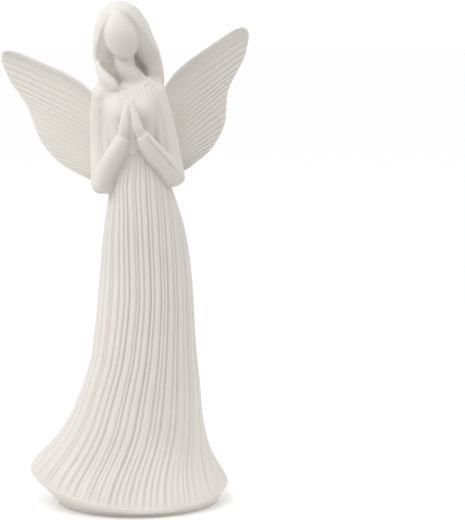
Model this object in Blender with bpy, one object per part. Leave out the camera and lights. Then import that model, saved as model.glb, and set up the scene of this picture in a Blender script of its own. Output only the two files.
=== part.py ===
"""Praying angel figurine in matt white bisque, cast in one piece.

A standing figure in a long fluted gown, with joined hands, a blank oval face, long parted hair and a pair
of ribbed wings. The upper body leans to the viewer's left and the gown sweeps out to a raised, rounded hem
over a smooth, undercut foot. In metres, with +Z up, the figure faces -Y. The origin is under its middle.
"""

import math

import bmesh
import bpy
from mathutils import Vector

# Driving dimensions, in metres
FIGURE_HEIGHT = 0.300
FOOT_WIDTH = 0.0962
FOOT_DEPTH = 0.0848
FOOT_EDGE = 0.0008
HEM_OVERHANG_SIDE = 0.0113
HEM_OVERHANG_FRONT = 0.00565
HEM_SHIFT = 0.0054
HEM_RISE_FRONT = 0.0062
HEM_RISE_BACK = 0.0140
HEM_RISE_LEFT = 0.0208
HEM_RISE_RIGHT = 0.0116
HEM_LIP = 0.0020
FLUTE_DEPTH = 0.0010
WING_THICKNESS = 0.0026
WING_RIB_DEPTH = 0.0008
WING_RIM_RADIUS = 0.0025
SLEEVE_RADIUS = 0.0059
CUFF_STEP = 0.0008

# Counts and angles
FLUTES = 46
FLUTE_FRONT = math.radians(-78.0)
FLUTE_CROWDING = 0.32
# The flutes in front run straight up from where the gown has this centre and half width
FLUTES_PARALLEL = (5.0, 28.3)
FLUTES_SPREAD_MOST = 0.56
# Height where the flutes fade out under the chest, and over how much
FLUTES_FADE = (226.0, 38.0)
# How far the flutes in front and behind lean to the left on the way down, and the heights between
FLUTE_LEAN = math.radians(7.0)
FLUTE_LEAN_HEIGHTS = (128.0, 60.0)
WING_RIBS = 21
BODY_LEAN = math.radians(5.5)
HEM_TWIST = math.radians(9.5)
HEM_TWIST_SKEW = math.radians(8.0)

# The free form is drawn on a grid of 300 parts of the height, so G times a drawn size is metres
GRID_PARTS = 300
G = FIGURE_HEIGHT / GRID_PARTS

# Gown above the flare, from the waist down: height, centre x, half width, centre y, half depth
GOWN = [
    (223, -2.9, 12.0, -3.2, 13.2),
    (210, -1.5, 14.3, -2.9, 14.0),
    (183, 3.2, 20.0, -1.3, 16.3),
    (168, 4.3, 23.5, -0.7, 18.4),
    (150, 5.0, 26.2, -0.1, 20.5),
    (128, 5.1, 28.3, 0.1, 22.9),
    (101, 4.4, 30.3, 0.2, 25.4),
    (87, 3.9, 32.0, 0.3, 27.5),
    (60, 0.5, 37.8, 0.5, 33.0),
]
GOWN_TOP_RISE = 2.0
# Flare from there down to the hem: share of the way down, of the widening and of the shift to the left
FLARE = [(0.22, 0.12, 0.26), (0.42, 0.28, 0.50), (0.60, 0.47, 0.76), (0.77, 0.71, 0.94), (0.90, 0.91, 1.02)]

# Bodice over the chest: height, centre x, half width, centre y, half depth
BODICE = [
    (212, -1.7, 13.2, -2.7, 12.7),
    (221, -2.6, 14.2, -2.5, 13.1),
    (228, -3.0, 15.4, -2.1, 13.3),
    (235, -3.2, 16.4, -1.5, 12.9),
    (242, -3.5, 17.2, -0.8, 11.4),
    (247.6, -3.7, 16.2, 0.1, 9.4),
    (251.4, 0.8, 7.2, 0.6, 7.0),
]
BODICE_FULLNESS = 0.82
# Two soft swells of the chest: x and height of each, reach across and up, and how far they come forward
BREASTS = [(-11.4, 235.8), (4.8, 236.4)]
BREAST_REACH = (7.6, 7.4)
BREAST_SWELL = 3.6
BODICE_END_DROP = 2.0
BODICE_END_RISE = 3.0

# Hair as one mass down to the back: height, centre x, half width, centre y, half depth
HAIR = [
    (298.4, -9.2, 5.4, 1.0, 5.6),
    (296.2, -8.8, 9.2, 1.0, 9.2),
    (292.6, -8.6, 12.2, 1.0, 11.8),
    (286, -7.9, 15.6, 1.5, 14.0),
    (279, -7.1, 17.6, 2.0, 15.0),
    (272, -5.9, 19.4, 2.5, 15.0),
    (265, -4.7, 20.0, 3.0, 14.4),
    (258, -3.1, 19.6, 4.0, 12.6),
    (250, -1.8, 18.6, 6.2, 9.8),
    (240, -1.4, 16.6, 8.0, 7.8),
    (228, -0.8, 13.6, 8.6, 7.0),
    (216, -0.2, 10.0, 8.6, 6.0),
    (207, 0.2, 6.0, 8.6, 4.4),
]
HAIR_TOP = (-9.6, 1.0, 300.0)
HAIR_END = (-0.2, 8.6, 202.5)

# Front edge of the hair, from the parting down the left side and up the right, as x and height
HAIR_OPENING = [
    (-9.9, 295.0), (-13.9, 292.6), (-17.2, 289.0), (-20.0, 283.6), (-22.2, 277.6), (-23.6, 270.8),
    (-23.2, 263.8), (-20.8, 257.0), (-17.0, 250.4), (-11.0, 245.0), (-4.0, 243.6), (4.0, 244.4),
    (11.6, 247.6), (15.2, 253.0), (15.4, 259.8), (13.6, 267.6), (9.8, 275.0), (5.9, 281.0),
    (1.2, 287.0), (-3.9, 291.8),
]
HAIR_OPENING_CENTRE = (-5.0, 264.0)
# The hollow under the hair from front to back: depth, share of the opening, how far its depth follows the
# hair's own front instead of one level, shift in x, in height
HAIR_HOLLOW = [
    (-28.0, 1.15, 0.0, 0.0, 0.0), (-1.5, 1.04, 1.0, 0.0, 0.0), (0.2, 0.98, 1.0, 0.0, 0.0),
    (1.5, 0.80, 0.9, 0.6, -0.6), (3.6, 0.54, 0.65, 2.4, -2.4), (6.0, 0.36, 0.4, 4.4, -4.4),
    (8.6, 0.20, 0.1, 6.8, -6.0),
]
HAIR_HOLLOW_LEVEL = -2.0
HAIR_HOLLOW_END = (3.2, 8.0, 257.2)

# Head with a blank face, pointed at the parting: height, centre x, half width, centre y, half depth
HEAD = [
    (266.4, -6.5, 4.0, -4.2, 4.6),
    (268.8, -7.0, 6.6, -3.6, 7.2),
    (272.6, -7.5, 8.8, -3.6, 9.4),
    (277.4, -8.1, 9.8, -4.4, 10.6),
    (281.9, -8.8, 9.4, -5.4, 10.4),
    (285.6, -9.3, 8.2, -6.2, 9.0),
    (289.2, -9.8, 6.2, -7.0, 6.8),
    (292.4, -10.2, 3.8, -7.8, 4.2),
]
HEAD_FULLNESS = 0.9
HEAD_CHIN = (-6.4, -4.6, 265.4)
HEAD_TOP = (-10.3, -8.4, 294.6)

# Limbs as x, y, height, half width, half depth along each centre line
NECK = [
    (-6.8, -1.0, 271.0, 6.1, 6.0), (-6.4, -0.2, 262.0, 6.1, 6.6), (-4.5, 0.2, 257.6, 6.4, 6.8),
    (-1.8, 0.4, 253.4, 7.2, 7.0), (0.2, 0.4, 249.0, 7.8, 7.4), (0.0, 0.6, 245.0, 9.0, 8.0),
]
YOKE = [
    (-20.0, 0.0, 245.2, 5.5, 5.8), (-14.4, 0.2, 244.8, 4.8, 6.2), (-9.0, 0.4, 245.2, 5.0, 6.4),
    (-3.0, 0.6, 248.2, 5.8, 6.4), (5.0, 0.4, 249.6, 6.0, 6.0), (11.8, 0.0, 246.6, 5.6, 5.6),
]
# Lock of hair over the left shoulder, and the hair behind it
HAIR_LOCK = [
    (-23.2, 1.8, 264.0, 0.9, 2.1), (-21.2, -2.2, 258.4, 2.7, 3.8), (-17.4, -5.9, 254.0, 4.1, 4.4),
    (-13.9, -7.8, 250.7, 3.5, 3.8), (-11.4, -8.7, 248.4, 2.1, 2.6), (-10.4, -9.2, 247.2, 0.9, 1.2),
]
HAIR_SIDE = [
    (-18.6, 0.6, 256.0, 2.6, 3.4), (-18.2, -1.4, 252.4, 4.0, 4.8), (-16.8, -3.0, 248.6, 4.6, 5.4),
    (-15.0, -4.0, 244.6, 4.4, 5.0), (-13.2, -4.6, 240.6, 3.0, 3.6),
]
# Arm centre lines as x, y, height; the sleeve's radius is a size of its own
UPPER_ARMS = {
    "left": [
        (-20.4, 0.0, 245.8), (-21.4, -0.5, 232.0), (-21.4, -2.0, 215.0), (-21.1, -5.4, 200.0),
        (-20.6, -8.0, 192.9),
    ],
    "right": [
        (11.8, 0.0, 246.4), (15.2, -0.5, 234.0), (18.6, -2.0, 219.0), (21.4, -5.4, 204.0),
        (22.3, -8.0, 197.2),
    ],
}
# Forearms with the sleeve's radius too, squared, with one corner turned from the front to the upper edge
FOREARMS = {
    "left": [
        (-20.6, -8.0, 192.9, 6.2), (-17.2, -12.4, 202.0, 5.8), (-12.9, -17.2, 210.8, 5.4),
        (-8.9, -20.6, 217.6, 4.8), (-6.8, -22.0, 221.7, 4.2),
    ],
    "right": [
        (22.3, -8.0, 197.2, 6.2), (17.2, -12.4, 204.4, 5.9), (12.2, -16.6, 210.6, 5.6),
        (7.4, -20.0, 216.4, 5.2), (2.9, -22.0, 222.4, 4.3),
    ],
}
SLEEVE_SQUARENESS = {"left": 2.2, "right": 3.1}
SLEEVE_CORNER = {"left": math.radians(-98.0), "right": math.radians(-47.0)}
# Fillings of the casting between the forms: x, y, height, half width, half depth
FILLINGS = {
    "left_underarm": [
        (-18.0, -2.2, 241.0, 3.2, 4.2), (-17.6, -3.4, 228.0, 3.2, 4.2), (-16.8, -5.0, 212.0, 3.2, 4.2),
    ],
    "right_underarm": [
        (11.4, -2.2, 240.0, 3.2, 4.2), (13.2, -3.6, 226.0, 3.2, 4.4), (15.2, -5.2, 212.0, 3.2, 4.2),
    ],
    "left_shoulder": [
        (-21.0, -2.4, 244.0, 4.5, 4.6), (-16.6, -3.8, 246.8, 4.4, 4.8), (-13.4, -4.2, 246.0, 3.2, 3.8),
    ],
    "left_sleeve": [
        (-19.2, -6.0, 194.0, 5.4, 5.6), (-15.6, -9.4, 202.4, 5.4, 5.6), (-11.6, -13.8, 211.0, 5.0, 5.6),
        (-8.0, -16.6, 217.0, 4.2, 5.2),
    ],
    "right_sleeve": [
        (20.9, -6.0, 198.0, 5.4, 5.6), (15.4, -9.4, 204.0, 5.2, 5.6), (10.6, -13.4, 210.0, 5.0, 5.6),
        (6.4, -16.4, 216.0, 4.4, 5.2),
    ],
    "left_lap": [
        (-16.4, -6.0, 190.5, 4.2, 4.6), (-14.0, -8.8, 199.0, 4.2, 4.6), (-10.6, -12.6, 207.6, 4.0, 4.8),
        (-7.2, -15.8, 214.6, 3.6, 4.6),
    ],
    "right_lap": [
        (18.6, -6.4, 193.5, 4.2, 4.6), (14.2, -9.6, 201.4, 4.2, 4.6), (9.6, -13.2, 208.2, 4.0, 4.8),
        (5.4, -16.4, 213.8, 3.6, 4.6), (2.6, -17.4, 218.0, 3.0, 3.8),
    ],
    "palms": [
        (-2.2, -14.8, 213.0, 3.4, 3.2), (-2.2, -18.4, 220.4, 3.2, 3.6), (-3.2, -21.2, 227.0, 1.9, 4.0),
        (-3.8, -20.4, 238.4, 1.3, 3.4),
    ],
}
# Hands as x, y, height, half width, half depth from the wrist to the fingertips, squared a little
HAND_CORNER = math.radians(-45.0)
HAND_SQUARENESS = 3.0
HANDS = {
    "left": [
        (-8.8, -20.6, 217.8, 3.0, 3.2), (-7.4, -22.0, 222.4, 3.1, 3.6), (-6.8, -22.4, 227.0, 3.4, 5.0),
        (-6.2, -21.8, 232.4, 2.8, 5.0), (-5.5, -20.9, 237.7, 2.2, 4.4), (-4.8, -20.2, 241.8, 1.7, 3.4),
    ],
    "right": [
        (5.8, -20.6, 218.4, 3.0, 3.2), (2.8, -22.0, 222.8, 3.1, 3.6), (0.7, -22.4, 227.4, 3.3, 5.0),
        (-0.5, -21.8, 232.4, 2.8, 5.0), (-1.8, -20.9, 237.7, 2.2, 4.4), (-3.1, -20.2, 241.8, 1.7, 3.4),
    ],
}

# Wings in a frame that leans with the body: how far out and how high, from a point on the back
WING_ORIGIN = (1.5, 190.0)
WING_ROOT_OUT = 8.0
WING_LEADING = [
    (8.0, 41.0), (15.0, 49.5), (21.0, 56.2), (25.8, 61.8), (30.3, 65.8), (38.0, 70.9),
    (47.0, 75.8), (55.4, 80.2), (62.0, 83.6), (67.0, 85.7), (71.2, 86.4),
]
WING_TRAILING = [
    (71.2, 86.4), (74.2, 85.2), (75.6, 81.4), (74.2, 75.4), (71.2, 67.0), (66.6, 58.8),
    (62.2, 50.4), (60.0, 41.8), (57.0, 31.0), (51.6, 22.4), (43.6, 14.0), (29.5, 5.4),
]
WING_ROOT_UP = [41.0, 40.0, 38.5, 34.8, 28.3, 22.2, 17.0, 11.5, 6.5, 3.6, 1.4, -1.0]
# How much the right wing is cut in at the middle of its outer edge
WING_TRIM = {-1: 0.0, 1: 2.4}
WING_RIM_SHARE = 0.11
WING_SWEEP = 0.42
WING_BACK_AT_ROOT = 10.0
WING_DISH = 8.5

# Colour and finish of the bisque
BISQUE_COLOUR = (0.79, 0.765, 0.725, 1.0)
BISQUE_ROUGHNESS = 0.62

# How many flat facets stand for each round form
ROUND = {"limb": 10, "forearm": 8, "body": 24, "hair": 18, "head": 16, "hand": 8, "filling": 6, "end": 2}


def remove_everything():
    """Clears the scene's objects."""
    for found in list(bpy.data.objects):
        bpy.data.objects.remove(found, do_unlink=True)


def new_collection(name):
    """A collection in the scene."""
    made = bpy.data.collections.new(name)
    bpy.context.scene.collection.children.link(made)
    return made


def bisque_material():
    """Matt off-white unglazed porcelain."""
    material = bpy.data.materials.new("white_bisque")
    material.use_nodes = True
    shader = material.node_tree.nodes["Principled BSDF"]
    shader.inputs["Base Color"].default_value = BISQUE_COLOUR
    shader.inputs["Roughness"].default_value = BISQUE_ROUGHNESS
    shader.inputs["Metallic"].default_value = 0.0
    return material


def smoothstep(value):
    """0 to 1 with an easy start and end."""
    value = min(1.0, max(0.0, value))
    return value * value * (3 - 2 * value)


def curve_through(points, share):
    """The point at a share from 0 to 1 along a smooth curve through the points, of any dimension."""
    spans = len(points) - 1
    place = min(max(share, 0.0), 1.0) * spans
    start = min(int(place), spans - 1)
    t = place - start
    before, a = points[max(start - 1, 0)], points[start]
    b, after = points[start + 1], points[min(start + 2, spans)]
    return tuple(
        0.5 * (2 * q + (r - p) * t + (2 * p - 5 * q + 4 * r - s) * t ** 2 + (3 * q - p - 3 * r + s) * t ** 3)
        for p, q, r, s in zip(before, a, b, after)
    )


def new_object(name, mesh_builder, collection):
    """An object whose mesh is the finished bmesh, in flat facets that point out."""
    bmesh.ops.triangulate(mesh_builder, faces=mesh_builder.faces)
    bmesh.ops.recalc_face_normals(mesh_builder, faces=mesh_builder.faces)
    mesh = bpy.data.meshes.new(name)
    mesh_builder.to_mesh(mesh)
    mesh_builder.free()
    made = bpy.data.objects.new(name, mesh)
    collection.objects.link(made)
    return made


def loft(name, rings, start, end, collection):
    """A closed solid through rings of points, each end drawn in to one point."""
    builder = bmesh.new()
    loops = [[builder.verts.new(point) for point in ring] for ring in rings]
    count = len(loops[0])
    for lower, upper in zip(loops, loops[1:]):
        for i in range(count):
            j = (i + 1) % count
            builder.faces.new((lower[i], lower[j], upper[j], upper[i]))
    for tip, loop in ((builder.verts.new(start), loops[0]), (builder.verts.new(end), loops[-1])):
        for i in range(count):
            builder.faces.new((tip, loop[i], loop[(i + 1) % count]))
    return new_object(name, builder, collection)


def slab(name, front, back, collection):
    """A closed solid between a front and a back grid of points, walled in along their edges."""
    builder = bmesh.new()
    front = [[builder.verts.new(point) for point in line] for line in front]
    back = [[builder.verts.new(point) for point in line] for line in back]
    rows, columns = len(front), len(front[0])
    for grid in (front, back):
        for upper, lower in zip(grid, grid[1:]):
            for i in range(columns - 1):
                builder.faces.new((upper[i], upper[i + 1], lower[i + 1], lower[i]))
    for i in range(columns - 1):
        for row in (0, rows - 1):
            builder.faces.new((front[row][i], front[row][i + 1], back[row][i + 1], back[row][i]))
    for i in range(rows - 1):
        for column in (0, columns - 1):
            builder.faces.new((front[i][column], front[i + 1][column], back[i + 1][column], back[i][column]))
    bmesh.ops.remove_doubles(builder, verts=builder.verts, dist=1e-6)
    return new_object(name, builder, collection)


def level_ring(height, centre_x, half_width, centre_y, half_depth, count, fullness=1.0):
    """A level oval ring, given on the drawn grid; a fullness under 1 squares the oval."""
    ring = []
    for i in range(count):
        angle = 2 * math.pi * i / count
        across, deep = math.cos(angle), math.sin(angle)
        x = centre_x + half_width * math.copysign(abs(across) ** fullness, across)
        y = centre_y + half_depth * math.copysign(abs(deep) ** fullness, deep)
        ring.append(Vector((x, y, height)) * G)
    return ring


def squared(angle, corner, squareness):
    """How far a squared section reaches at an angle, against a round one."""
    across = abs(math.cos(angle - corner + math.pi / 4))
    deep = abs(math.sin(angle - corner + math.pi / 4))
    return 0.96 * (across ** squareness + deep ** squareness) ** (-1 / squareness)


def limb(
    name, centre_line, collection, count, rings=5, round_ends=(True, True), corner=None, squareness=2.0,
):
    """A limb of oval sections across its centre line, in x, y, height, half width and half depth.

    A round end is drawn out like half a ball, and the other kind is cut flat. A corner makes it square.
    """
    samples = [curve_through(centre_line, i / (rings - 1)) for i in range(rings)]
    spots = [Vector(sample[:3]) for sample in samples]
    ways = [(spots[min(i + 1, rings - 1)] - spots[max(i - 1, 0)]).normalized() for i in range(rings)]

    def section(spot, way, half_width, half_depth):
        across = Vector((0, 1, 0)).cross(way).normalized()
        deep = way.cross(across)
        ring = []
        for i in range(count):
            angle = 2 * math.pi * i / count + (corner or 0.0)
            offset = across * math.cos(angle) * half_width + deep * math.sin(angle) * half_depth
            reach = 1.0 if corner is None else squared(angle, corner, squareness)
            ring.append((spot + offset * reach) * G)
        return ring

    body = [section(spot, way, *sample[3:]) for spot, way, sample in zip(spots, ways, samples)]
    tips = []
    for which, rounded in enumerate(round_ends):
        at = -1 if which else 0
        spot, way, sample = spots[at], ways[at] if which else -ways[at], samples[at]
        reach = min(sample[3:]) if rounded else 0.0
        extra = []
        for step in range(1, ROUND["end"] + 1):
            angle = step * math.pi / 2 / (ROUND["end"] + 1)
            shrink, out = math.cos(angle), math.sin(angle) * reach
            outward = way if which else -way
            extra.append(section(spot + way * out, outward, sample[3] * shrink, sample[4] * shrink))
        if rounded:
            body = body + extra if which else extra[::-1] + body
        tips.append((spot + way * reach) * G)
    return loft(name, body, tips[0], tips[1], collection)


def flute_angles():
    """Angles of the gown's grooves and of the ridges between them, closer in front and a little uneven."""
    grooves = []
    for k in range(FLUTES):
        wander = 0.20 * math.sin(2.4 * k) + 0.13 * math.sin(5.1 * k + 1.0)
        even = 2 * math.pi * (k + wander) / FLUTES
        groove = even
        for _ in range(12):
            groove = even - FLUTE_CROWDING / 2 * math.sin(2 * (groove - FLUTE_FRONT))
        grooves.append(groove)
    angles = []
    for k, groove in enumerate(grooves):
        following = grooves[k + 1] if k + 1 < FLUTES else grooves[0] + 2 * math.pi
        angles += [(groove, False), ((groove + following) / 2, True)]
    return angles


def hem_height(angle):
    """Height of the hem's widest line at an angle round the gown: low in front, high at the left."""
    sides = (HEM_RISE_LEFT + HEM_RISE_RIGHT) / 2
    ends = (HEM_RISE_FRONT + HEM_RISE_BACK) / 2
    level = (sides + ends) / 2 + (sides - ends) / 2 * math.cos(2 * angle)
    tilt_side = (HEM_RISE_RIGHT - HEM_RISE_LEFT) / 2 * math.cos(angle)
    tilt_back = (HEM_RISE_BACK - HEM_RISE_FRONT) / 2 * math.sin(angle)
    return level + tilt_side + tilt_back


def gown_rings():
    """Rings of the foot, hem and gown from the floor up, in metres."""
    angles = flute_angles()
    foot = (0.0, FOOT_WIDTH / 2, 0.0, FOOT_DEPTH / 2)
    hem = (-HEM_SHIFT, foot[1] + HEM_OVERHANG_SIDE, -HEM_SHIFT / 4, foot[3] + HEM_OVERHANG_FRONT)
    flare_top = GOWN[-1]
    top_height = flare_top[0] * G
    top = tuple(value * G for value in flare_top[1:])

    def ring(plan, height_at, groove_depth, twist, narrow=False):
        points = []
        high, low = (value * G for value in FLUTE_LEAN_HEIGHTS)
        lean = FLUTE_LEAN * smoothstep((high - height_at(0.0)) / (high - low))
        middle, wide = (value * G for value in FLUTES_PARALLEL)
        spread = min(FLUTES_SPREAD_MOST, max(0.0, wide / plan[1] - 1)) * narrow
        shift = min(0.4, max(0.0, (middle - plan[0]) / plan[1])) * narrow
        shift *= smoothstep((wide - plan[1]) / (6 * G))
        for angle, is_ridge in angles:
            turned = angle - twist * (HEM_TWIST + HEM_TWIST_SKEW * math.cos(angle))
            turned += spread / 2 * math.sin(2 * (angle - FLUTE_FRONT)) + (lean - shift) * math.sin(angle)
            inward = 0.0 if is_ridge else groove_depth
            x = plan[0] + (plan[1] - inward) * math.cos(turned)
            y = plan[2] + (plan[3] - inward) * math.sin(turned)
            points.append(Vector((x, y, height_at(turned))))
        return points

    def between(a, b, widen, shift):
        return (
            a[0] + (b[0] - a[0]) * shift, a[1] + (b[1] - a[1]) * widen,
            a[2] + (b[2] - a[2]) * shift, a[3] + (b[3] - a[3]) * widen,
        )

    def grown(plan, amount):
        return plan[0], plan[1] + amount, plan[2], plan[3] + amount

    rings = [
        ring(grown(foot, -FOOT_EDGE), lambda angle: 0.0, 0.0, 1.0),
        ring(foot, lambda angle: FOOT_EDGE, 0.0, 1.0),
        ring(grown(hem, -HEM_LIP * 0.4), lambda angle: hem_height(angle) - HEM_LIP * 0.8, 0.0, 1.0),
        ring(hem, hem_height, 0.0, 1.0),
    ]
    for step, widen, shift in reversed(FLARE):
        plan = between(top, hem, widen, shift)
        rings.append(ring(
            plan, lambda angle, step=step: top_height + (hem_height(angle) - top_height) * step,
            FLUTE_DEPTH * min(1.0, 6 * (1 - step)), smoothstep(step),
        ))
    for height, *plan in reversed(GOWN):
        plan = [value * G for value in plan]
        shallow = min(1.0, plan[1] / top[1] + 0.25) * smoothstep((FLUTES_FADE[0] - height) / FLUTES_FADE[1])
        rings.append(ring(plan, lambda angle, height=height: height * G, FLUTE_DEPTH * shallow, 0.0, True))
    return rings


def gown(collection):
    """The fluted gown with its hem and foot."""
    rings = gown_rings()
    waist = sum(rings[-1], Vector()) / len(rings[-1])
    return loft("gown", rings, Vector((0, 0, 0)), waist + Vector((0, 0, GOWN_TOP_RISE * G)), collection)


def bodice(collection):
    """The gown's top over the chest, with its two soft swells in front."""
    rings = []
    for section in BODICE:
        height, centre_x, half_width, centre_y, half_depth = section
        ring = level_ring(*section, ROUND["body"], BODICE_FULLNESS)
        for point in ring:
            forward = smoothstep((centre_y - point.y / G) / half_depth)
            for x, rise in BREASTS:
                away = ((point.x / G - x) / BREAST_REACH[0]) ** 2 + ((height - rise) / BREAST_REACH[1]) ** 2
                point.y -= BREAST_SWELL * math.exp(-away) * forward * G
        rings.append(ring)
    low, high = BODICE[0], BODICE[-1]
    below = Vector((low[1], low[3], low[0] - BODICE_END_DROP)) * G
    above = Vector((high[1], high[3], high[0] + BODICE_END_RISE)) * G
    return loft("bodice", rings, below, above, collection)


def hair_front(x, height):
    """Depth of the uncut hair's front on the drawn grid, at a place in front view."""
    for upper, lower in zip(HAIR, HAIR[1:]):
        if lower[0] <= height <= upper[0]:
            share = (upper[0] - height) / (upper[0] - lower[0])
            centre_x, half_width, centre_y, half_depth = (
                p + (q - p) * share for p, q in zip(upper[1:], lower[1:])
            )
            return centre_y - half_depth * math.sqrt(max(0.0, 1 - ((x - centre_x) / half_width) ** 2))
    return HAIR[0][3]


def hair(collection):
    """The parted hair: one mass with a hollow in front for the face and neck."""
    count = ROUND["hair"]
    mass = loft(
        "hair", [level_ring(*section, count) for section in HAIR],
        Vector(HAIR_TOP) * G, Vector(HAIR_END) * G, collection,
    )
    middle_x, middle_z = HAIR_OPENING_CENTRE
    rings = []
    for depth, share, follow, aside, lift in HAIR_HOLLOW:
        ring = []
        for x, z in HAIR_OPENING:
            y = HAIR_HOLLOW_LEVEL + (hair_front(x, z) - HAIR_HOLLOW_LEVEL) * follow + depth
            across, up = middle_x + aside + (x - middle_x) * share, middle_z + lift + (z - middle_z) * share
            ring.append(Vector((across, y, up)) * G)
        rings.append(ring)
    front = Vector((middle_x, HAIR_HOLLOW[0][0], middle_z)) * G
    hollow = loft("hair_hollow", rings, front, Vector(HAIR_HOLLOW_END) * G, collection)
    cut = mass.modifiers.new("hollow", "BOOLEAN")
    cut.operation = "DIFFERENCE"
    cut.solver = "EXACT"
    cut.object = hollow
    return mass


def head(collection):
    """The head with its smooth blank face."""
    count = ROUND["head"]
    rings = [level_ring(*section, count, HEAD_FULLNESS) for section in HEAD]
    return loft("head", rings, Vector(HEAD_CHIN) * G, Vector(HEAD_TOP) * G, collection)


def arm(side, collection):
    """A sleeved upper arm, a squared forearm with its cuff, and the hand."""
    radius = SLEEVE_RADIUS / G
    count = ROUND["limb"]
    fore = [(*spot, spot[-1]) for spot in FOREARMS[side]]
    upper = [(*spot, radius, radius) for spot in UPPER_ARMS[side]]
    upper[-1] = fore[0]
    wrist = fore[-1][-1] - CUFF_STEP / G
    hand = [
        (x, y, z, min(half_width, wrist), half_depth) for x, y, z, half_width, half_depth in HANDS[side]
    ]
    corner = SLEEVE_CORNER[side]
    squareness = SLEEVE_SQUARENESS[side]
    return [
        limb(f"upper_arm_{side}", upper, collection, count),
        limb(f"forearm_{side}", fore, collection, ROUND["forearm"], 5, (True, False), corner, squareness),
        limb(f"hand_{side}", hand, collection, ROUND["hand"], 5, (True, True), HAND_CORNER, HAND_SQUARENESS),
    ]


def wing_point(side, across, along, forward):
    """A point of a wing: across from its top edge, along from the body out, and forward of its middle."""
    tail_out, tail_up = curve_through(WING_TRAILING, across)
    tail_out -= WING_TRIM[side] * math.exp(-((across - 0.6) / 0.16) ** 2)
    root_up = curve_through([(value,) for value in WING_ROOT_UP], across)[0]
    out = WING_ROOT_OUT + (tail_out - WING_ROOT_OUT) * along
    up = root_up + (tail_up - root_up) * along
    top_out, top_up = curve_through(WING_LEADING, along)
    tip_out, tip_up = WING_LEADING[-1]
    near_top = max(0.0, 1 - across / 0.55) ** 1.5
    out += near_top * (top_out - WING_ROOT_OUT - (tip_out - WING_ROOT_OUT) * along)
    up += near_top * (top_up - WING_ROOT_UP[0] - (tip_up - WING_ROOT_UP[0]) * along)
    dish = WING_DISH * math.sin(math.pi * min(1.0, across) ** 0.75)
    dish *= (0.42 + 0.58 * smoothstep(along / 0.35)) * (1 - 0.3 * along)
    back = WING_BACK_AT_ROOT + WING_SWEEP * (out - WING_ROOT_OUT) + dish - forward
    x = WING_ORIGIN[0] + side * out * math.cos(BODY_LEAN) - up * math.sin(BODY_LEAN)
    z = WING_ORIGIN[1] + side * out * math.sin(BODY_LEAN) + up * math.cos(BODY_LEAN)
    return Vector((x, back, z)) * G


def edge_places(first, count):
    """Places down the wing from the rim to the foot, an equal length apart along its outer edge."""
    fine = 20 * count
    shares = [first + (1 - first) * step / fine for step in range(fine + 1)]
    spots = [Vector(curve_through(WING_TRAILING, share)) for share in shares]
    lengths = [0.0]
    for a, b in zip(spots, spots[1:]):
        lengths.append(lengths[-1] + (b - a).length)
    places = []
    step = 0
    for mark in range(count):
        while lengths[step] < lengths[-1] * mark / count:
            step += 1
        places.append(shares[step])
    return places


def wing(name, side, collection):
    """A wing with ribs on its front, a plain back and a thick rounded top edge."""
    columns = 4
    half = WING_THICKNESS / G / 2
    rim = WING_RIM_RADIUS / G
    rows = [(0.0, 0.0, 0.0), (0.012, 0.7 * rim, 0.0), (0.05, rim, 0.0), (0.085, 0.85 * rim, 0.0)]
    places = edge_places(WING_RIM_SHARE, 2 * WING_RIBS)
    rows += [(across, half, (i + 1) % 2) for i, across in enumerate(places)]
    rows.append((1.0, 0.4 * half, 0.0))
    front, back = [], []
    for across, swell, groove in rows:
        front_line, back_line = [], []
        for column in range(columns + 1):
            along = column / columns
            edge = 0.7 if column == columns else 1.0
            cut = groove * WING_RIB_DEPTH / G * (0.35 + 0.65 * along)
            front_line.append(wing_point(side, across, along, swell * edge - cut))
            back_line.append(wing_point(side, across, along, -swell * edge))
        front.append(front_line)
        back.append(back_line)
    return slab(name, front, back, collection)


def join(pieces, name, collection):
    """One solid that is the union of the pieces."""
    whole = pieces[0]
    for helper in list(whole.users_collection):
        helper.objects.unlink(whole)
    collection.objects.link(whole)
    whole.name = name
    for piece in pieces[1:]:
        union = whole.modifiers.new(piece.name, "BOOLEAN")
        union.operation = "UNION"
        union.solver = "EXACT"
        union.object = piece
    return whole


def build():
    """The angel, as one cast piece."""
    remove_everything()
    statue = new_collection("praying_angel")
    helpers = new_collection("forms_joined_into_the_angel")
    pieces = [gown(helpers), bodice(helpers)]
    pieces.append(limb("shoulders", YOKE, helpers, ROUND["limb"], round_ends=(False, False)))
    pieces.append(limb("neck", NECK, helpers, ROUND["limb"], rings=3, round_ends=(False, False)))
    for side in ("left", "right"):
        pieces += arm(side, helpers)
    for name, centre_line in FILLINGS.items():
        filling = limb(name, centre_line, helpers, ROUND["filling"], rings=3, round_ends=(False, False))
        pieces.append(filling)
    pieces.append(hair(helpers))
    pieces.append(head(helpers))
    pieces.append(limb("hair_side", HAIR_SIDE, helpers, ROUND["hand"]))
    pieces.append(limb("hair_lock", HAIR_LOCK, helpers, ROUND["hand"]))
    pieces += [wing("wing_left", -1, helpers), wing("wing_right", 1, helpers)]
    angel = join(pieces, "angel_figure", statue)
    angel.data.materials.append(bisque_material())
    for helper in helpers.objects:
        helper.hide_render = True
        helper.display_type = "WIRE"


build()
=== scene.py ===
"""Looks of a praying angel figurine in matt white bisque, on a pale studio floor.

The gown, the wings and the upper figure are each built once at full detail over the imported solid, from the same
drawn sizes. Sizes are in parts of the figure's height, 300 to the whole, and MM turns them into metres.
"""

import math

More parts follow.
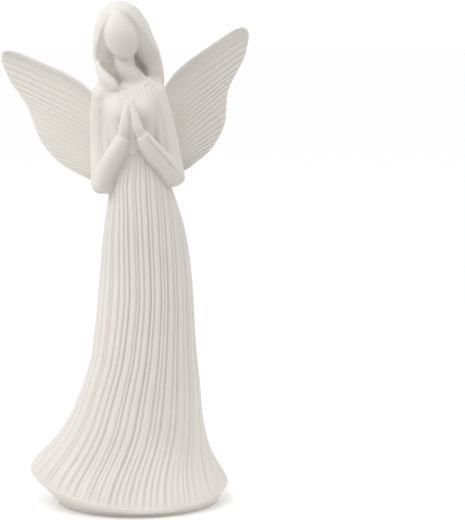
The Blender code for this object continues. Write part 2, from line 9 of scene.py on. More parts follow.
import bmesh
import bpy
from mathutils import Euler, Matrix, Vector


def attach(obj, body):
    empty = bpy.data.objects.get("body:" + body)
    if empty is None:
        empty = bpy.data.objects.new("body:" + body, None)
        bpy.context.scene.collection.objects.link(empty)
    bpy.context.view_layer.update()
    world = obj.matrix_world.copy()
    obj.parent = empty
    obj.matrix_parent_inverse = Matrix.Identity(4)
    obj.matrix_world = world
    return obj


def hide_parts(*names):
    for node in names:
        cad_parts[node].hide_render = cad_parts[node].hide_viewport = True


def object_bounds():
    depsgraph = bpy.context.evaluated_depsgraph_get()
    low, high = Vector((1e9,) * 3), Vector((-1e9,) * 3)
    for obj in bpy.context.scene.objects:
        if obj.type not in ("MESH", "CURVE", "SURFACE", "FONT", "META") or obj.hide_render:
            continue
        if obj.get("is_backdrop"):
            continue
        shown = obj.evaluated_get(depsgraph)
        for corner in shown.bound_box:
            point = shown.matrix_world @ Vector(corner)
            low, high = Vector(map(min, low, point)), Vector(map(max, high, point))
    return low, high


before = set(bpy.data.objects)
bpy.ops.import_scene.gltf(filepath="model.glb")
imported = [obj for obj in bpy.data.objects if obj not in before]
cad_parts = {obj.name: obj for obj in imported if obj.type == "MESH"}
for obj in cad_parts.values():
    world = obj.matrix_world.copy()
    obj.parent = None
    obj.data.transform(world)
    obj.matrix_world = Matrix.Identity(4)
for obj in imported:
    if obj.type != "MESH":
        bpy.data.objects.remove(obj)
CAD_LOW, CAD_HIGH = (Vector(corner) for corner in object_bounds())
MM = (CAD_HIGH.z - CAD_LOW.z) / 300

# Gown: the flutes round it, how deep the grooves between them are, how wide they are as a share of a flute, and
# the points across each flute
FLUTES = 46
GROOVE_DEPTH = 1.35
GROOVE_WIDTH = 0.15
FLUTE_COLUMNS = 12
# Some flutes in front split near the hem: how deep that groove is against the others, how wide as a share of a
# flute, and how far round the gown they lie
SPLIT_DEPTH = 0.85
SPLIT_WIDTH = 0.12
SPLIT_REACH = 0.75
# Height where the flutes fade out under the chest, and over how much
FLUTES_FADE = (226.0, 38.0)
# The flutes in front run straight up from where the gown has this centre and half width. To do that they spread
# and shift on the narrower gown above, by this much at most
FLUTES_PARALLEL = (5.0, 28.3)
FLUTES_SPREAD_MOST = 0.56
FLUTES_SHIFT_MOST = 0.4
# How far the flutes in front and behind lean to the left on the way down, and the heights between
FLUTE_LEAN = math.radians(7.0)
FLUTE_LEAN_HEIGHTS = (128.0, 60.0)
# Where the flutes lie closest together, and by how much
FLUTE_FRONT = math.radians(-78.0)
FLUTE_CROWDING = 0.32
# How far the flutes turn to the left by the hem, and how much more on the right side than in front
HEM_TWIST = math.radians(9.5)
HEM_TWIST_SKEW = math.radians(8.0)
# How much deeper the grooves are cut at the left of the hem
HEM_LEFT_DEEPER = 0.6

# Foot and hem: centre x, half width, centre y, half depth; then the foot's rounded edge, and how far the hem's
# underside is set in from its widest line
FOOT = (0.0, 48.1, 0.0, 42.4)
FOOT_EDGE = 0.5
HEM = (-5.4, 59.4, -1.35, 48.0)
HEM_UNDERSIDE = 1.2
# Height of the hem's widest line on each side
HEM_RISE = {"left": 20.8, "right": 11.6, "front": 6.2, "back": 14.0}

# Gown from the waist down to the flare: height, centre x, half width, centre y, half depth
GOWN = [
    (223, -2.9, 12.0, -3.2, 13.2), (210, -1.5, 14.3, -2.9, 14.0), (197, 1.2, 17.0, -2.1, 15.1),
    (183, 3.2, 20.0, -1.3, 16.3), (168, 4.3, 23.5, -0.7, 18.4), (150, 5.0, 26.2, -0.1, 20.5),
    (128, 5.1, 28.3, 0.1, 22.9), (104, 4.5, 30.1, 0.2, 25.2), (87, 3.9, 32.0, 0.3, 27.5),
    (73, 2.5, 34.9, 0.4, 30.2), (60, 0.5, 37.8, 0.5, 33.0),
]
# Flare from there to the hem: share of the way down, of the widening and of the shift to the left
FLARE = [
    (0.22, 0.12, 0.26), (0.42, 0.28, 0.50), (0.60, 0.47, 0.76), (0.77, 0.71, 0.94), (0.90, 0.91, 1.02),
]

# Chest: height, centre x, half width, centre y, half depth
BODICE = [
    (206, -1.0, 12.4, -2.8, 12.4), (212, -1.7, 13.2, -2.7, 12.7), (221, -2.6, 14.2, -2.5, 13.1),
    (228, -3.0, 15.4, -2.1, 13.3), (235, -3.2, 16.4, -1.5, 12.9), (242, -3.5, 17.2, -0.8, 11.4),
    (247.6, -3.7, 16.2, 0.1, 9.4), (249.4, -1.4, 11.2, 0.4, 7.6), (251.4, 0.8, 7.2, 0.6, 6.0),
    (253.6, 1.6, 5.0, 0.9, 5.0), (255.6, 1.6, 2.6, 1.0, 3.6),
]
# A fullness under 1 squares the sections
BODICE_FULLNESS = 0.82
# The two swells of the chest: x, height; then their reach across and up, and how far they come forward
BREASTS = [(-11.4, 235.8), (4.8, 236.4)]
BREAST_REACH = (7.6, 7.4)
BREAST_SWELL = 3.6
# Collar edge over the chest as x and height, how far the neck is set in behind it, and the pleats under it
COLLAR = [
    (-30.0, 247.0), (-14.0, 247.4), (-9.4, 248.4), (-6.2, 247.7), (-2.6, 248.0), (1.2, 249.2), (4.2, 251.3),
    (6.6, 253.4), (9.0, 255.2), (30.0, 258.0),
]
COLLAR_STEP = 1.6
# The part of the chest that this carving reaches, from its lowest to its highest x, y and height
COLLAR_LOW = (-19.0, -17.0, 236.0)
COLLAR_HIGH = (15.0, 0.5, 264.0)
PLEAT_CENTRE = (-3.0, 275.0)
PLEAT_SPACING = 0.085
PLEAT_DEPTH = 0.7
PLEAT_LENGTH = 21.0
# How far the body leans to the left
BODY_LEAN = math.radians(5.5)

# Hair: height, centre x, half width, centre y, half depth
HAIR = [
    (299.6, -9.5, 2.2, 1.0, 2.4), (298.4, -9.2, 5.4, 1.0, 5.6), (296.2, -8.8, 9.2, 1.0, 9.2),
    (292.6, -8.6, 12.2, 1.0, 11.8), (286, -7.9, 15.6, 1.5, 14.0), (279, -7.1, 17.6, 2.0, 15.0),
    (272, -5.9, 19.4, 2.5, 15.0), (265, -4.7, 20.0, 3.0, 14.4), (258, -3.1, 19.6, 4.0, 12.6),
    (250, -1.8, 18.6, 6.2, 9.8), (240, -1.4, 16.6, 8.0, 7.8), (228, -0.8, 13.6, 8.6, 7.0),
    (216, -0.2, 10.0, 8.6, 6.0), (207, 0.2, 6.0, 8.6, 4.4), (203.4, 0.2, 2.6, 8.6, 2.0),
]
# Front edge of the hair, down the left side and up the right, as x and height
HAIR_OPENING = [
    (-9.9, 295.0), (-13.9, 292.6), (-17.2, 289.0), (-20.0, 283.6), (-22.2, 277.6), (-23.6, 270.8),
    (-23.2, 263.8), (-20.8, 257.0), (-17.0, 250.4), (-11.0, 245.0), (-4.0, 243.6), (4.0, 244.4),
    (11.6, 247.6), (15.2, 253.0), (15.4, 259.8), (13.6, 267.6), (9.8, 275.0), (5.9, 281.0),
    (1.2, 287.0), (-3.9, 291.8),
]
HAIR_OPENING_CENTRE = (-5.0, 264.0)
# The hollow under the hair from front to back: depth, share of the opening, how far its depth follows the
# hair's own front, shift in x and in height; then the level it starts from where it doesn't follow
HAIR_HOLLOW = [
    (-28.0, 1.15, 0.0, 0.0, 0.0), (-1.5, 1.04, 1.0, 0.0, 0.0), (0.2, 0.98, 1.0, 0.0, 0.0),
    (1.1, 0.88, 0.95, 0.3, -0.3), (2.0, 0.72, 0.85, 1.0, -1.0), (3.6, 0.54, 0.65, 2.4, -2.4),
    (6.0, 0.36, 0.4, 4.4, -4.4), (8.6, 0.2, 0.1, 6.8, -6.0), (10.0, 0.06, 0.0, 8.2, -6.8),
]
HAIR_HOLLOW_LEVEL = -2.0
# Lock over the left shoulder, and the hair behind it: x, y, height, half width, half depth
HAIR_LOCK = [
    (-22.6, 2.4, 266.0, 0.9, 2.1), (-21.0, -1.8, 259.6, 2.5, 3.8), (-17.6, -5.7, 254.6, 3.7, 4.2),
    (-13.9, -7.8, 250.7, 3.5, 3.8), (-11.4, -8.7, 248.4, 2.1, 2.6), (-10.4, -9.2, 247.2, 0.9, 1.2),
]
HAIR_SIDE = [
    (-18.6, 0.6, 256.0, 2.6, 3.4), (-18.2, -1.4, 252.4, 4.0, 4.8), (-16.8, -3.0, 248.6, 4.6, 5.4),
    (-15.0, -4.0, 244.6, 4.4, 5.0), (-13.2, -4.6, 240.6, 3.0, 3.6),
]

# Head with a blank face: height, centre x, half width, centre y, half depth
HEAD = [
    (265.7, -6.4, 2.2, -4.6, 2.6), (266.4, -6.5, 4.0, -4.2, 4.6), (268.8, -7.0, 6.6, -3.6, 7.2),
    (272.6, -7.5, 8.8, -3.6, 9.4), (277.4, -8.1, 9.8, -4.4, 10.6), (281.9, -8.8, 9.4, -5.4, 10.4),
    (285.6, -9.3, 8.2, -6.2, 9.0), (289.2, -9.8, 6.2, -7.0, 6.8), (292.4, -10.2, 3.8, -7.8, 4.2),
    (294.4, -10.3, 1.6, -8.4, 1.8),
]
HEAD_FULLNESS = 0.9

# Neck and shoulders along their centre lines: x, y, height, half width, half depth
NECK = [
    (-6.8, -0.6, 271, 6.1, 6.0), (-6.4, 0.8, 262, 6.1, 6.6), (-4.5, 1.4, 257.6, 6.4, 6.8),
    (-1.8, 1.6, 253.4, 7.2, 7.0), (0.2, 1.4, 249, 7.8, 7.4), (0.0, 0.8, 245, 9.0, 8.0),
]
SHOULDERS = [
    (-20.0, 0.0, 245.2, 5.5, 5.8), (-14.4, 0.2, 244.8, 4.8, 6.2), (-9.0, 0.4, 245.2, 5.0, 6.4),
    (-3.0, 0.6, 248.2, 5.8, 6.4), (5.0, 0.4, 249.6, 6.0, 6.0), (11.8, 0.0, 246.6, 5.6, 5.6),
]

# Arms as x, y, height along each centre line
SLEEVE_RADIUS = 5.9
UPPER_ARMS = {
    "left": [
        (-20.4, 0.0, 245.8), (-21.4, -0.5, 232.0), (-21.4, -2.0, 215.0), (-21.1, -5.4, 200.0),
        (-20.6, -8.0, 192.9),
    ],
    "right": [
        (11.8, 0.0, 246.4), (15.2, -0.5, 234.0), (18.6, -2.0, 219.0), (21.4, -5.4, 204.0),
        (22.3, -8.0, 197.2),
    ],
}
# Forearms with the sleeve's radius too. Their sections are a little squared, most of all the right one's, and
# each has a corner at the angle given
FOREARMS = {
    "left": [
        (-20.6, -8.0, 192.9, 6.2), (-17.2, -12.4, 202.0, 5.8), (-12.9, -17.2, 210.8, 5.4),
        (-8.9, -20.6, 217.6, 4.8), (-6.8, -22.0, 221.7, 4.2),
    ],
    "right": [
        (22.3, -8.0, 197.2, 6.2), (17.2, -12.4, 204.4, 5.9), (12.2, -16.6, 210.6, 5.6),
        (7.4, -20.0, 216.4, 5.2), (2.9, -22.0, 222.4, 4.3),
    ],
}
SLEEVE_SQUARENESS = {"left": 2.2, "right": 3.1}
SLEEVE_CORNER = {"left": math.radians(-98.0), "right": math.radians(-47.0)}
# How far the hand is set in from the cuff
CUFF_STEP = 0.8
# Crease along the right forearm, as x and height, its depth, its width and how far back it reaches
SLEEVE_CREASE = [(6.0, 221.8), (24.4, 199.4)]
CREASE_DEPTH = 0.9
CREASE_WIDTH = 0.6
CREASE_BACK = -4.0
# Fillings of the casting between the forms: x, y, height, half width, half depth
FILLINGS = {
    "left_underarm": [
        (-18.0, -2.2, 241.0, 3.2, 4.2), (-17.6, -3.4, 228.0, 3.2, 4.2), (-16.8, -5.0, 212.0, 3.2, 4.2),
    ],
    "right_underarm": [
        (11.4, -2.2, 240.0, 3.2, 4.2), (13.2, -3.6, 226.0, 3.2, 4.4), (15.2, -5.2, 212.0, 3.2, 4.2),
    ],
    "left_shoulder": [
        (-21.0, -2.4, 244.0, 4.5, 4.6), (-16.6, -3.8, 246.8, 4.4, 4.8), (-13.4, -4.2, 246.0, 3.2, 3.8),
    ],
    "left_sleeve": [
        (-19.2, -6.0, 194.0, 5.4, 5.6), (-15.6, -9.4, 202.4, 5.4, 5.6), (-11.6, -13.8, 211.0, 5.0, 5.6),
        (-8.0, -16.6, 217.0, 4.2, 5.2),
    ],
    "right_sleeve": [
        (20.9, -6.0, 198.0, 5.4, 5.6), (15.4, -9.4, 204.0, 5.2, 5.6), (10.6, -13.4, 210.0, 5.0, 5.6),
        (6.4, -16.4, 216.0, 4.4, 5.2),
    ],
    "left_lap": [
        (-16.4, -6.0, 190.5, 4.2, 4.6), (-14.0, -8.8, 199.0, 4.2, 4.6), (-10.6, -12.6, 207.6, 4.0, 4.8),
        (-7.2, -15.8, 214.6, 3.6, 4.6),
    ],
    "right_lap": [
        (18.6, -6.4, 193.5, 4.2, 4.6), (14.2, -9.6, 201.4, 4.2, 4.6), (9.6, -13.2, 208.2, 4.0, 4.8),
        (5.4, -16.4, 213.8, 3.6, 4.6), (2.6, -17.4, 218.0, 3.0, 3.8),
    ],
    "palms": [
        (-2.2, -14.8, 213.0, 3.4, 3.2), (-2.2, -18.4, 220.4, 3.2, 3.6), (-3.2, -21.2, 227.0, 1.9, 4.0),
        (-3.8, -20.4, 238.4, 1.3, 3.4),
    ],
}
# Hands from the wrist to the fingertips: x, y, height, half width, half depth
HANDS = {
    "left": [
        (-8.8, -20.6, 217.8, 3.0, 3.2), (-7.4, -22.0, 222.4, 3.1, 3.6), (-6.8, -22.4, 227.0, 3.4, 5.0),
        (-6.2, -21.8, 232.4, 2.8, 5.0), (-5.5, -20.9, 237.7, 2.2, 4.4), (-4.8, -20.2, 241.8, 1.7, 3.4),
    ],
    "right": [
        (5.8, -20.6, 218.4, 3.0, 3.2), (2.8, -22.0, 222.8, 3.1, 3.6), (0.7, -22.4, 227.4, 3.3, 5.0),
        (-0.5, -21.8, 232.4, 2.8, 5.0), (-1.8, -20.9, 237.7, 2.2, 4.4), (-3.1, -20.2, 241.8, 1.7, 3.4),
    ],
}
HAND_SQUARENESS = 3.0
HAND_CORNER = math.radians(-45.0)

# Grain of the skin over the upper figure, and how many times it is smoothed all over
BODY_GRAIN = 0.485
SKIN_PASSES = 4
# The shoulders are smoothed further: their lowest and highest height, how far forward they reach, and the times
SHOULDER_HEIGHTS = (237, 262)
SHOULDER_FRONT = -14.0
SHOULDER_PASSES = 8
# The left shoulder under the lock is smoothed most: its top, its inner edge, and the times
LEFT_SHOULDER_TOP = 251.5
LEFT_SHOULDER_INNER = -13.5
LEFT_SHOULDER_PASSES = 50

# Wings in a frame that leans with the body, as out from the back and up: the top edge, then the outer edge from
# the tip down, and the height of the root beside each point of it
WING_ORIGIN = (1.5, 190.0)
WING_ROOT_OUT = 8.0
WING_LEADING = [
    (8.0, 41.0), (15.0, 49.5), (21.0, 56.2), (25.8, 61.8), (30.3, 65.8), (38.0, 70.9),
    (47.0, 75.8), (55.4, 80.2), (62.0, 83.6), (67.0, 85.7), (71.2, 86.4),
]
WING_TRAILING = [
    (71.2, 86.4), (74.2, 85.2), (75.5, 81.4), (74.2, 75.4), (71.2, 67.0), (66.6, 58.8),
    (62.2, 50.4), (60.0, 41.8), (57.0, 31.0), (51.6, 22.4), (43.6, 14.0), (29.5, 5.4),
]
WING_ROOT_UP = [41.0, 40.0, 38.5, 34.8, 28.3, 22.2, 17.0, 11.5, 6.5, 3.6, 1.4, -1.0]
# How much the right wing is cut in at the middle of its outer edge
WING_TRIM = {-1: 0.0, 1: 2.4}
# How far the wings sweep back for each part outwards, how far back they start, and how deeply they are hollowed
WING_SWEEP = 0.42
WING_BACK_AT_ROOT = 10.0
WING_DISH = 8.5
WING_THICKNESS = 2.6
# The rounded rim along the top edge: its radius, the share of the wing that is rounded, and where the ribs start
WING_RIM_RADIUS = 2.5
WING_RIM_ROUND = 0.06
WING_RIM_SHARE = 0.11
WING_RIBS = 21
WING_RIB_DEPTH = 0.8
# How much fainter the ribs are down each wing, where that is most, and over how much
WING_RIB_FADE = {-1: (0.8, 0.68, 0.2), 1: (0.0, 0.6, 0.2)}

# Bisque: its darker and its lighter tint, and about how many clouds of tint and how many grains to a metre
BISQUE_TINTS = ((0.635, 0.604, 0.562, 1.0), (0.675, 0.646, 0.604, 1.0))
BISQUE_CLOUDS = 18.0
BISQUE_GRAIN = 900.0

# Camera: place in metres, how far it looks down and to the right in degrees, and lens in millimetres
CAMERA_PLACE = (0.0, -1.30, 0.33)
CAMERA_DOWN = 8.056
CAMERA_RIGHT = 2.51
CAMERA_LENS = 152.4
# Soft square lights: place, aim and width in metres, and power in watts
KEY_LIGHT = ((-0.6, -0.3, 0.72), (0, 0, 0.2), 0.42, 2.0)
TOP_LIGHT = ((-0.08, -0.42, 0.72), (0, 0, 0.24), 0.3, 0.9)
# Brightness of the white surroundings from in front of the figure, over its sides and behind it, to overhead, and
# where each level lies on a scale that grows towards the back and the top
SKY_LEVELS = (0.45, 0.66, 0.712, 0.68)
SKY_PLACES = (0.1, 0.45, 0.74, 1.0)
# The scale's value at the figure's side, and how much it grows towards the back and the top
SKY_MIDDLE = 0.45
SKY_GROWTH = (("Y", 0.30), ("Z", 0.55))
SKY_STRENGTH = 1.45
# Floor in metres: its half width, how far under the foot it lies, and the places from front to back between
# which its grey and its glow change
FLOOR_HALF_WIDTH = 6.0
FLOOR_GAP = 0.0002
FLOOR_GREY_PLACES = (-0.4, -0.08)
FLOOR_GREYS = (0.45, 0.93)
FLOOR_GLOW_PLACES = (-0.2, -0.06)
FLOOR_GLOWS = (0.0, 0.06)


def smoothstep(value):
    """0 to 1 with an easy start and end."""
    value = min(1.0, max(0.0, value))
    return value * value * (3 - 2 * value)


def blend(a, b, share):
    """A value a share of the way from a to b."""
    return a + (b - a) * share


def curve_through(points, share, closed=False):
    """The point at a share from 0 to 1 along a smooth curve through the points."""
    count = len(points)
    spans = count if closed else count - 1
    place = min(max(share, 0.0), 1.0) * spans
    start = min(int(place), spans - 1)
    t = place - start
    picks = []
    for step in (-1, 0, 1, 2):
        index = start + step
        picks.append(points[index % count] if closed else points[min(max(index, 0), count - 1)])
    return tuple(
        0.5 * (2 * q + (r - p) * t + (2 * p - 5 * q + 4 * r - s) * t ** 2 + (3 * q - p - 3 * r + s) * t ** 3)
        for p, q, r, s in zip(*picks)
    )


def finished(name, shape):
    """A smooth-shaded object from a bmesh drawn in the figure's own parts."""
    bmesh.ops.remove_doubles(shape, verts=shape.verts, dist=1e-4)
    bmesh.ops.recalc_face_normals(shape, faces=shape.faces)
    bmesh.ops.scale(shape, vec=(MM, MM, MM), verts=shape.verts)
    for face in shape.faces:
        face.smooth = True
    mesh = bpy.data.meshes.new(name)
    shape.to_mesh(mesh)
    shape.free()
    made = bpy.data.objects.new(name, mesh)
    bpy.context.scene.collection.objects.link(made)
    return made


def moulded(shape, columns, rows, place):
    """A grid added to the shape, each point moved to place(across, along) with both from 0 to 1."""
    grid = bmesh.ops.create_grid(shape, x_segments=columns, y_segments=rows, size=0.5)["verts"]
    for vert in grid:
        vert.co = place(vert.co.x + 0.5, vert.co.y + 0.5)


def oval(section, across, fullness=1.0):
    """A point on a level oval section; a fullness under 1 squares the oval."""
    height, centre_x, half_width, centre_y, half_depth = section
    side, deep = math.cos(2 * math.pi * across), math.sin(2 * math.pi * across)
    x = centre_x + half_width * math.copysign(abs(side) ** fullness, side)
    y = centre_y + half_depth * math.copysign(abs(deep) ** fullness, deep)
    return Vector((x, y, height))


def add_stack(shape, sections, columns, rows, fullness=1.0):
    """A closed form through level oval sections."""
    def place(across, along):
        if along in (0.0, 1.0):
            section = sections[0] if along == 0.0 else sections[-1]
            return Vector((section[1], section[3], section[0]))
        return oval(curve_through(sections, (along * rows - 1) / (rows - 2)), across, fullness)
    moulded(shape, columns, rows, place)


def squared(angle, corner, squareness):
    """How far a squared section reaches at an angle, against a round one."""
    side, deep = abs(math.cos(angle - corner + math.pi / 4)), abs(math.sin(angle - corner + math.pi / 4))
    return (side ** squareness + deep ** squareness) ** (-1 / squareness)


def add_limb(shape, centre_line, columns=32, rows=44, round_ends=(True, True), corner=0.0, squareness=2.0):
    """A limb of oval or squared sections square to its centre line, with round or flat ends."""
    cap = 0.12

    def place(across, along):
        share = min(1.0, max(0.0, (along - cap) / (1 - 2 * cap)))
        x, y, z, half_width, half_depth = curve_through(centre_line, share)
        ahead = Vector(curve_through(centre_line, min(1.0, share + 0.02))[:3])
        behind = Vector(curve_through(centre_line, max(0.0, share - 0.02))[:3])
        way = (ahead - behind).normalized()
        side = Vector((0, 1, 0)).cross(way).normalized()
        deep = way.cross(side)
        past = max(0.0, 1 - along / cap, (along - (1 - cap)) / cap)
        rounded = round_ends[0] if along < 0.5 else round_ends[1]
        spot = Vector((x, y, z))
        if past > 0:
            angle = past * math.pi / 2
            slim = math.cos(angle) if rounded else 1 - past
            spot += way * (min(half_width, half_depth) * math.sin(angle) * rounded * (1 if along > 0.5 else -1))
            half_width, half_depth = half_width * slim, half_depth * slim
        angle = 2 * math.pi * across
        reach = (1.0 if squareness == 2.0 else 0.96) * squared(angle, corner, squareness)
        return spot + (side * (math.cos(angle) * half_width) + deep * (math.sin(angle) * half_depth)) * reach
    moulded(shape, columns, rows, place)


def add_chest(shape):
    """The gown's top, with its two soft swells in front."""
    add_stack(shape, BODICE, 96, 70, BODICE_FULLNESS)
    for vert in shape.verts:
        across = (vert.co.y - BODICE[3][3]) / BODICE[3][4]
        for x, height in BREASTS:
            away = ((vert.co.x - x) / BREAST_REACH[0]) ** 2 + ((vert.co.z - height) / BREAST_REACH[1]) ** 2
            vert.co.y -= BREAST_SWELL * math.exp(-away) * smoothstep(-across)


def hem_height(angle):
    """Height of the hem's widest line at an angle round the gown."""
    rise = HEM_RISE
    sides, ends = (rise["left"] + rise["right"]) / 2, (rise["front"] + rise["back"]) / 2
    level = (sides + ends) / 2 + (sides - ends) / 2 * math.cos(2 * angle)
    tilt = (rise["right"] - rise["left"]) / 2 * math.cos(angle)
    return level + tilt + (rise["back"] - rise["front"]) / 2 * math.sin(angle)


def flute_start(k):
    """Angle of a groove between flutes: closer in front and behind than at the sides, and a little uneven."""
    turn, k = divmod(k, FLUTES)
    wander = 0.20 * math.sin(2.4 * k) + 0.13 * math.sin(5.1 * k + 1.0)
    even = 2 * math.pi * (turn + (k + wander) / FLUTES)
    angle = even
    for _ in range(12):
        angle = even - FLUTE_CROWDING / 2 * math.sin(2 * (angle - FLUTE_FRONT))
    return angle


def groove_depth(k):
    """How deep a groove is cut, as a share of the full depth; they differ as if cut by hand."""
    k = k % FLUTES
    return 0.85 + 0.15 * math.sin(3.1 * k + 0.6) + 0.1 * math.sin(1.3 * k)


def gown_stations():
    """Levels of the gown from the floor up.

    Each is centre x, half width, centre y, half depth, fixed height, share of the hem's height, flutes, twist.
    """
    def grown(plan, amount):
        return plan[0], plan[1] + amount, plan[2], plan[3] + amount

    def between(a, b, share):
        return tuple(blend(p, q, share) for p, q in zip(a, b))

    under = grown(HEM, -HEM_UNDERSIDE)
    stations = [
        ((0.0, 0.01, 0.0, 0.01), 0.0, 0.0, 0.0, 1.0),
        (between((0.0, 0.0, 0.0, 0.0), FOOT, 0.35), 0.0, 0.0, 0.0, 1.0),
        (between((0.0, 0.0, 0.0, 0.0), FOOT, 0.7), 0.0, 0.0, 0.0, 1.0),
        (grown(FOOT, -6.0), 0.0, 0.0, 0.0, 1.0),
        (grown(FOOT, -2.6), 0.0, 0.0, 0.0, 1.0),
        (grown(FOOT, -FOOT_EDGE), 0.0, 0.0, 0.0, 1.0),
        (FOOT, FOOT_EDGE, 0.0, 0.0, 1.0),
        (between(FOOT, under, 0.08), 0.74, 0.08, 0.0, 1.0),
        (between(FOOT, under, 0.5), 0.4 - 0.95, 0.5, 0.0, 1.0),
        (between(FOOT, under, 0.92), -1.8, 0.92, 0.0, 1.0),
        (grown(HEM, -0.5), -1.1, 1.0, 0.0, 1.0),
        (HEM, 0.0, 1.0, 0.0, 1.0),
        (grown(HEM, -0.3), 0.8, 1.0, 0.35, 1.0),
    ]
    height, *top = GOWN[-1]
    for step, widen, shift in reversed(FLARE):
        plan = (
            blend(top[0], HEM[0], shift), blend(top[1], HEM[1], widen),
            blend(top[2], HEM[2], shift), blend(top[3], HEM[3], widen),
        )
        stations.append((plan, height * (1 - step), step, 1.0, smoothstep(step)))
    for height, *plan in reversed(GOWN):
        fluted = min(1.0, plan[1] / top[1] + 0.25) * smoothstep((FLUTES_FADE[0] - height) / FLUTES_FADE[1])
        stations.append((tuple(plan), height, 0.0, fluted, 0.0))
    plan = tuple(GOWN[0][1:])
    stations.append(((plan[0], 0.01, plan[2], 0.01), GOWN[0][0], 0.0, 0.0, 0.0))
    return [(*plan, *rest) for plan, *rest in stations]


def gown_piece():
    """The fluted gown, the rounded hem and the smooth foot."""
    stations = gown_stations()
    columns = FLUTES * FLUTE_COLUMNS

    def place(across, along):
        column = round(across * columns) % columns
        k, step = divmod(column, FLUTE_COLUMNS)
        s = step / FLUTE_COLUMNS
        angle = blend(flute_start(k), flute_start(k + 1), s)
        x, half_width, y, half_depth, height, hem_share, fluted, twist = curve_through(stations, along)
        high, low = FLUTE_LEAN_HEIGHTS
        turned = angle - twist * (HEM_TWIST + HEM_TWIST_SKEW * math.cos(angle))
        turned += FLUTE_LEAN * smoothstep((high - height) / (high - low)) * math.sin(angle)
        width = (flute_start(k + 1) - flute_start(k)) * FLUTES / (2 * math.pi)
        if height > GOWN[-1][0]:
            middle, wide = FLUTES_PARALLEL
            spread = min(FLUTES_SPREAD_MOST, max(0.0, wide / half_width - 1))
            shift = min(FLUTES_SHIFT_MOST, max(0.0, (middle - x) / half_width))
            shift *= smoothstep((wide - half_width) / 6.0)
            turned += spread / 2 * math.sin(2 * (angle - FLUTE_FRONT)) - shift * math.sin(angle)
            stretch = 1 + spread * math.cos(2 * (angle - FLUTE_FRONT)) - shift * math.cos(angle)
            fluted *= smoothstep(stretch * half_width / wide * 1.4)
        near = 0.5 - abs(0.5 - s)
        groove = groove_depth(k if s < 0.5 else k + 1) * math.exp(-(near * width / GROOVE_WIDTH) ** 2)
        split = smoothstep((hem_share - 0.15) / 0.5) * smoothstep(0.6 + 1.6 * math.sin(2.3 * k + 0.4))
        split *= math.exp(-((turned - FLUTE_FRONT - 2 * math.pi) / SPLIT_REACH) ** 2)
        split *= groove_depth(3 * k + 1) * SPLIT_DEPTH
        groove += split * math.exp(-((s - 0.5) * width / SPLIT_WIDTH) ** 2)
        cut = GROOVE_DEPTH * fluted * groove * (1 + HEM_LEFT_DEEPER * hem_share * (1 - math.cos(turned)) / 2)
        z = height + hem_share * hem_height(turned)
        x += max(0.0, half_width - cut) * math.cos(turned)
        y += max(0.0, half_depth - cut) * math.sin(turned)
        return Vector((x, y, max(0.0, z)))

    shape = bmesh.new()
    moulded(shape, columns, (len(stations) - 1) * 6, place)
    return finished("fluted_gown", shape)


def wing_point(side, across, along, forward):
    """A point of a wing: across from the top edge down, along outwards, and forward of the wing's middle."""
    tail_out, tail_up = curve_through(WING_TRAILING, across)
    tail_out -= WING_TRIM[side] * math.exp(-((across - 0.6) / 0.16) ** 2)
    root_up = curve_through([(value,) for value in WING_ROOT_UP], across)[0]
    out = blend(WING_ROOT_OUT, tail_out, along)
    up = blend(root_up, tail_up, along)
    top_out, top_up = curve_through(WING_LEADING, along)
    tip_out, tip_up = WING_LEADING[-1]
    near_top = max(0.0, 1 - across / 0.55) ** 1.5
    out += near_top * (top_out - blend(WING_ROOT_OUT, tip_out, along))
    up += near_top * (top_up - blend(WING_ROOT_UP[0], tip_up, along))
    dish = WING_DISH * math.sin(math.pi * min(1.0, across) ** 0.75)
    dish *= (0.42 + 0.58 * smoothstep(along / 0.35)) * (1 - 0.3 * along)
    back = WING_BACK_AT_ROOT + WING_SWEEP * (out - WING_ROOT_OUT) + dish - forward
    x = WING_ORIGIN[0] + side * out * math.cos(BODY_LEAN) - up * math.sin(BODY_LEAN)
    z = WING_ORIGIN[1] + side * out * math.sin(BODY_LEAN) + up * math.cos(BODY_LEAN)
    return Vector((x, back, z))


def rounded_edge(distance, reach):
    """0 at an edge and 1 from reach inwards, like a quarter circle."""
    inside = min(1.0, max(0.0, distance / reach))
    return math.sqrt(1 - (1 - inside) ** 2)


def edge_places(first, count):
    """Places down the wing from the rim to the foot, an equal length apart along its outer edge."""
    fine = 6 * count
    shares = [blend(first, 1.0, step / fine) for step in range(fine + 1)]
    spots = [Vector(curve_through(WING_TRAILING, share)) for share in shares]
    lengths = [0.0]
    for a, b in zip(spots, spots[1:]):
        lengths.append(lengths[-1] + (b - a).length)
    places, step = [], 0
    for mark in range(count):
        while lengths[step] < lengths[-1] * mark / count:
            step += 1
        places.append(shares[step])
    return places + [1.0]


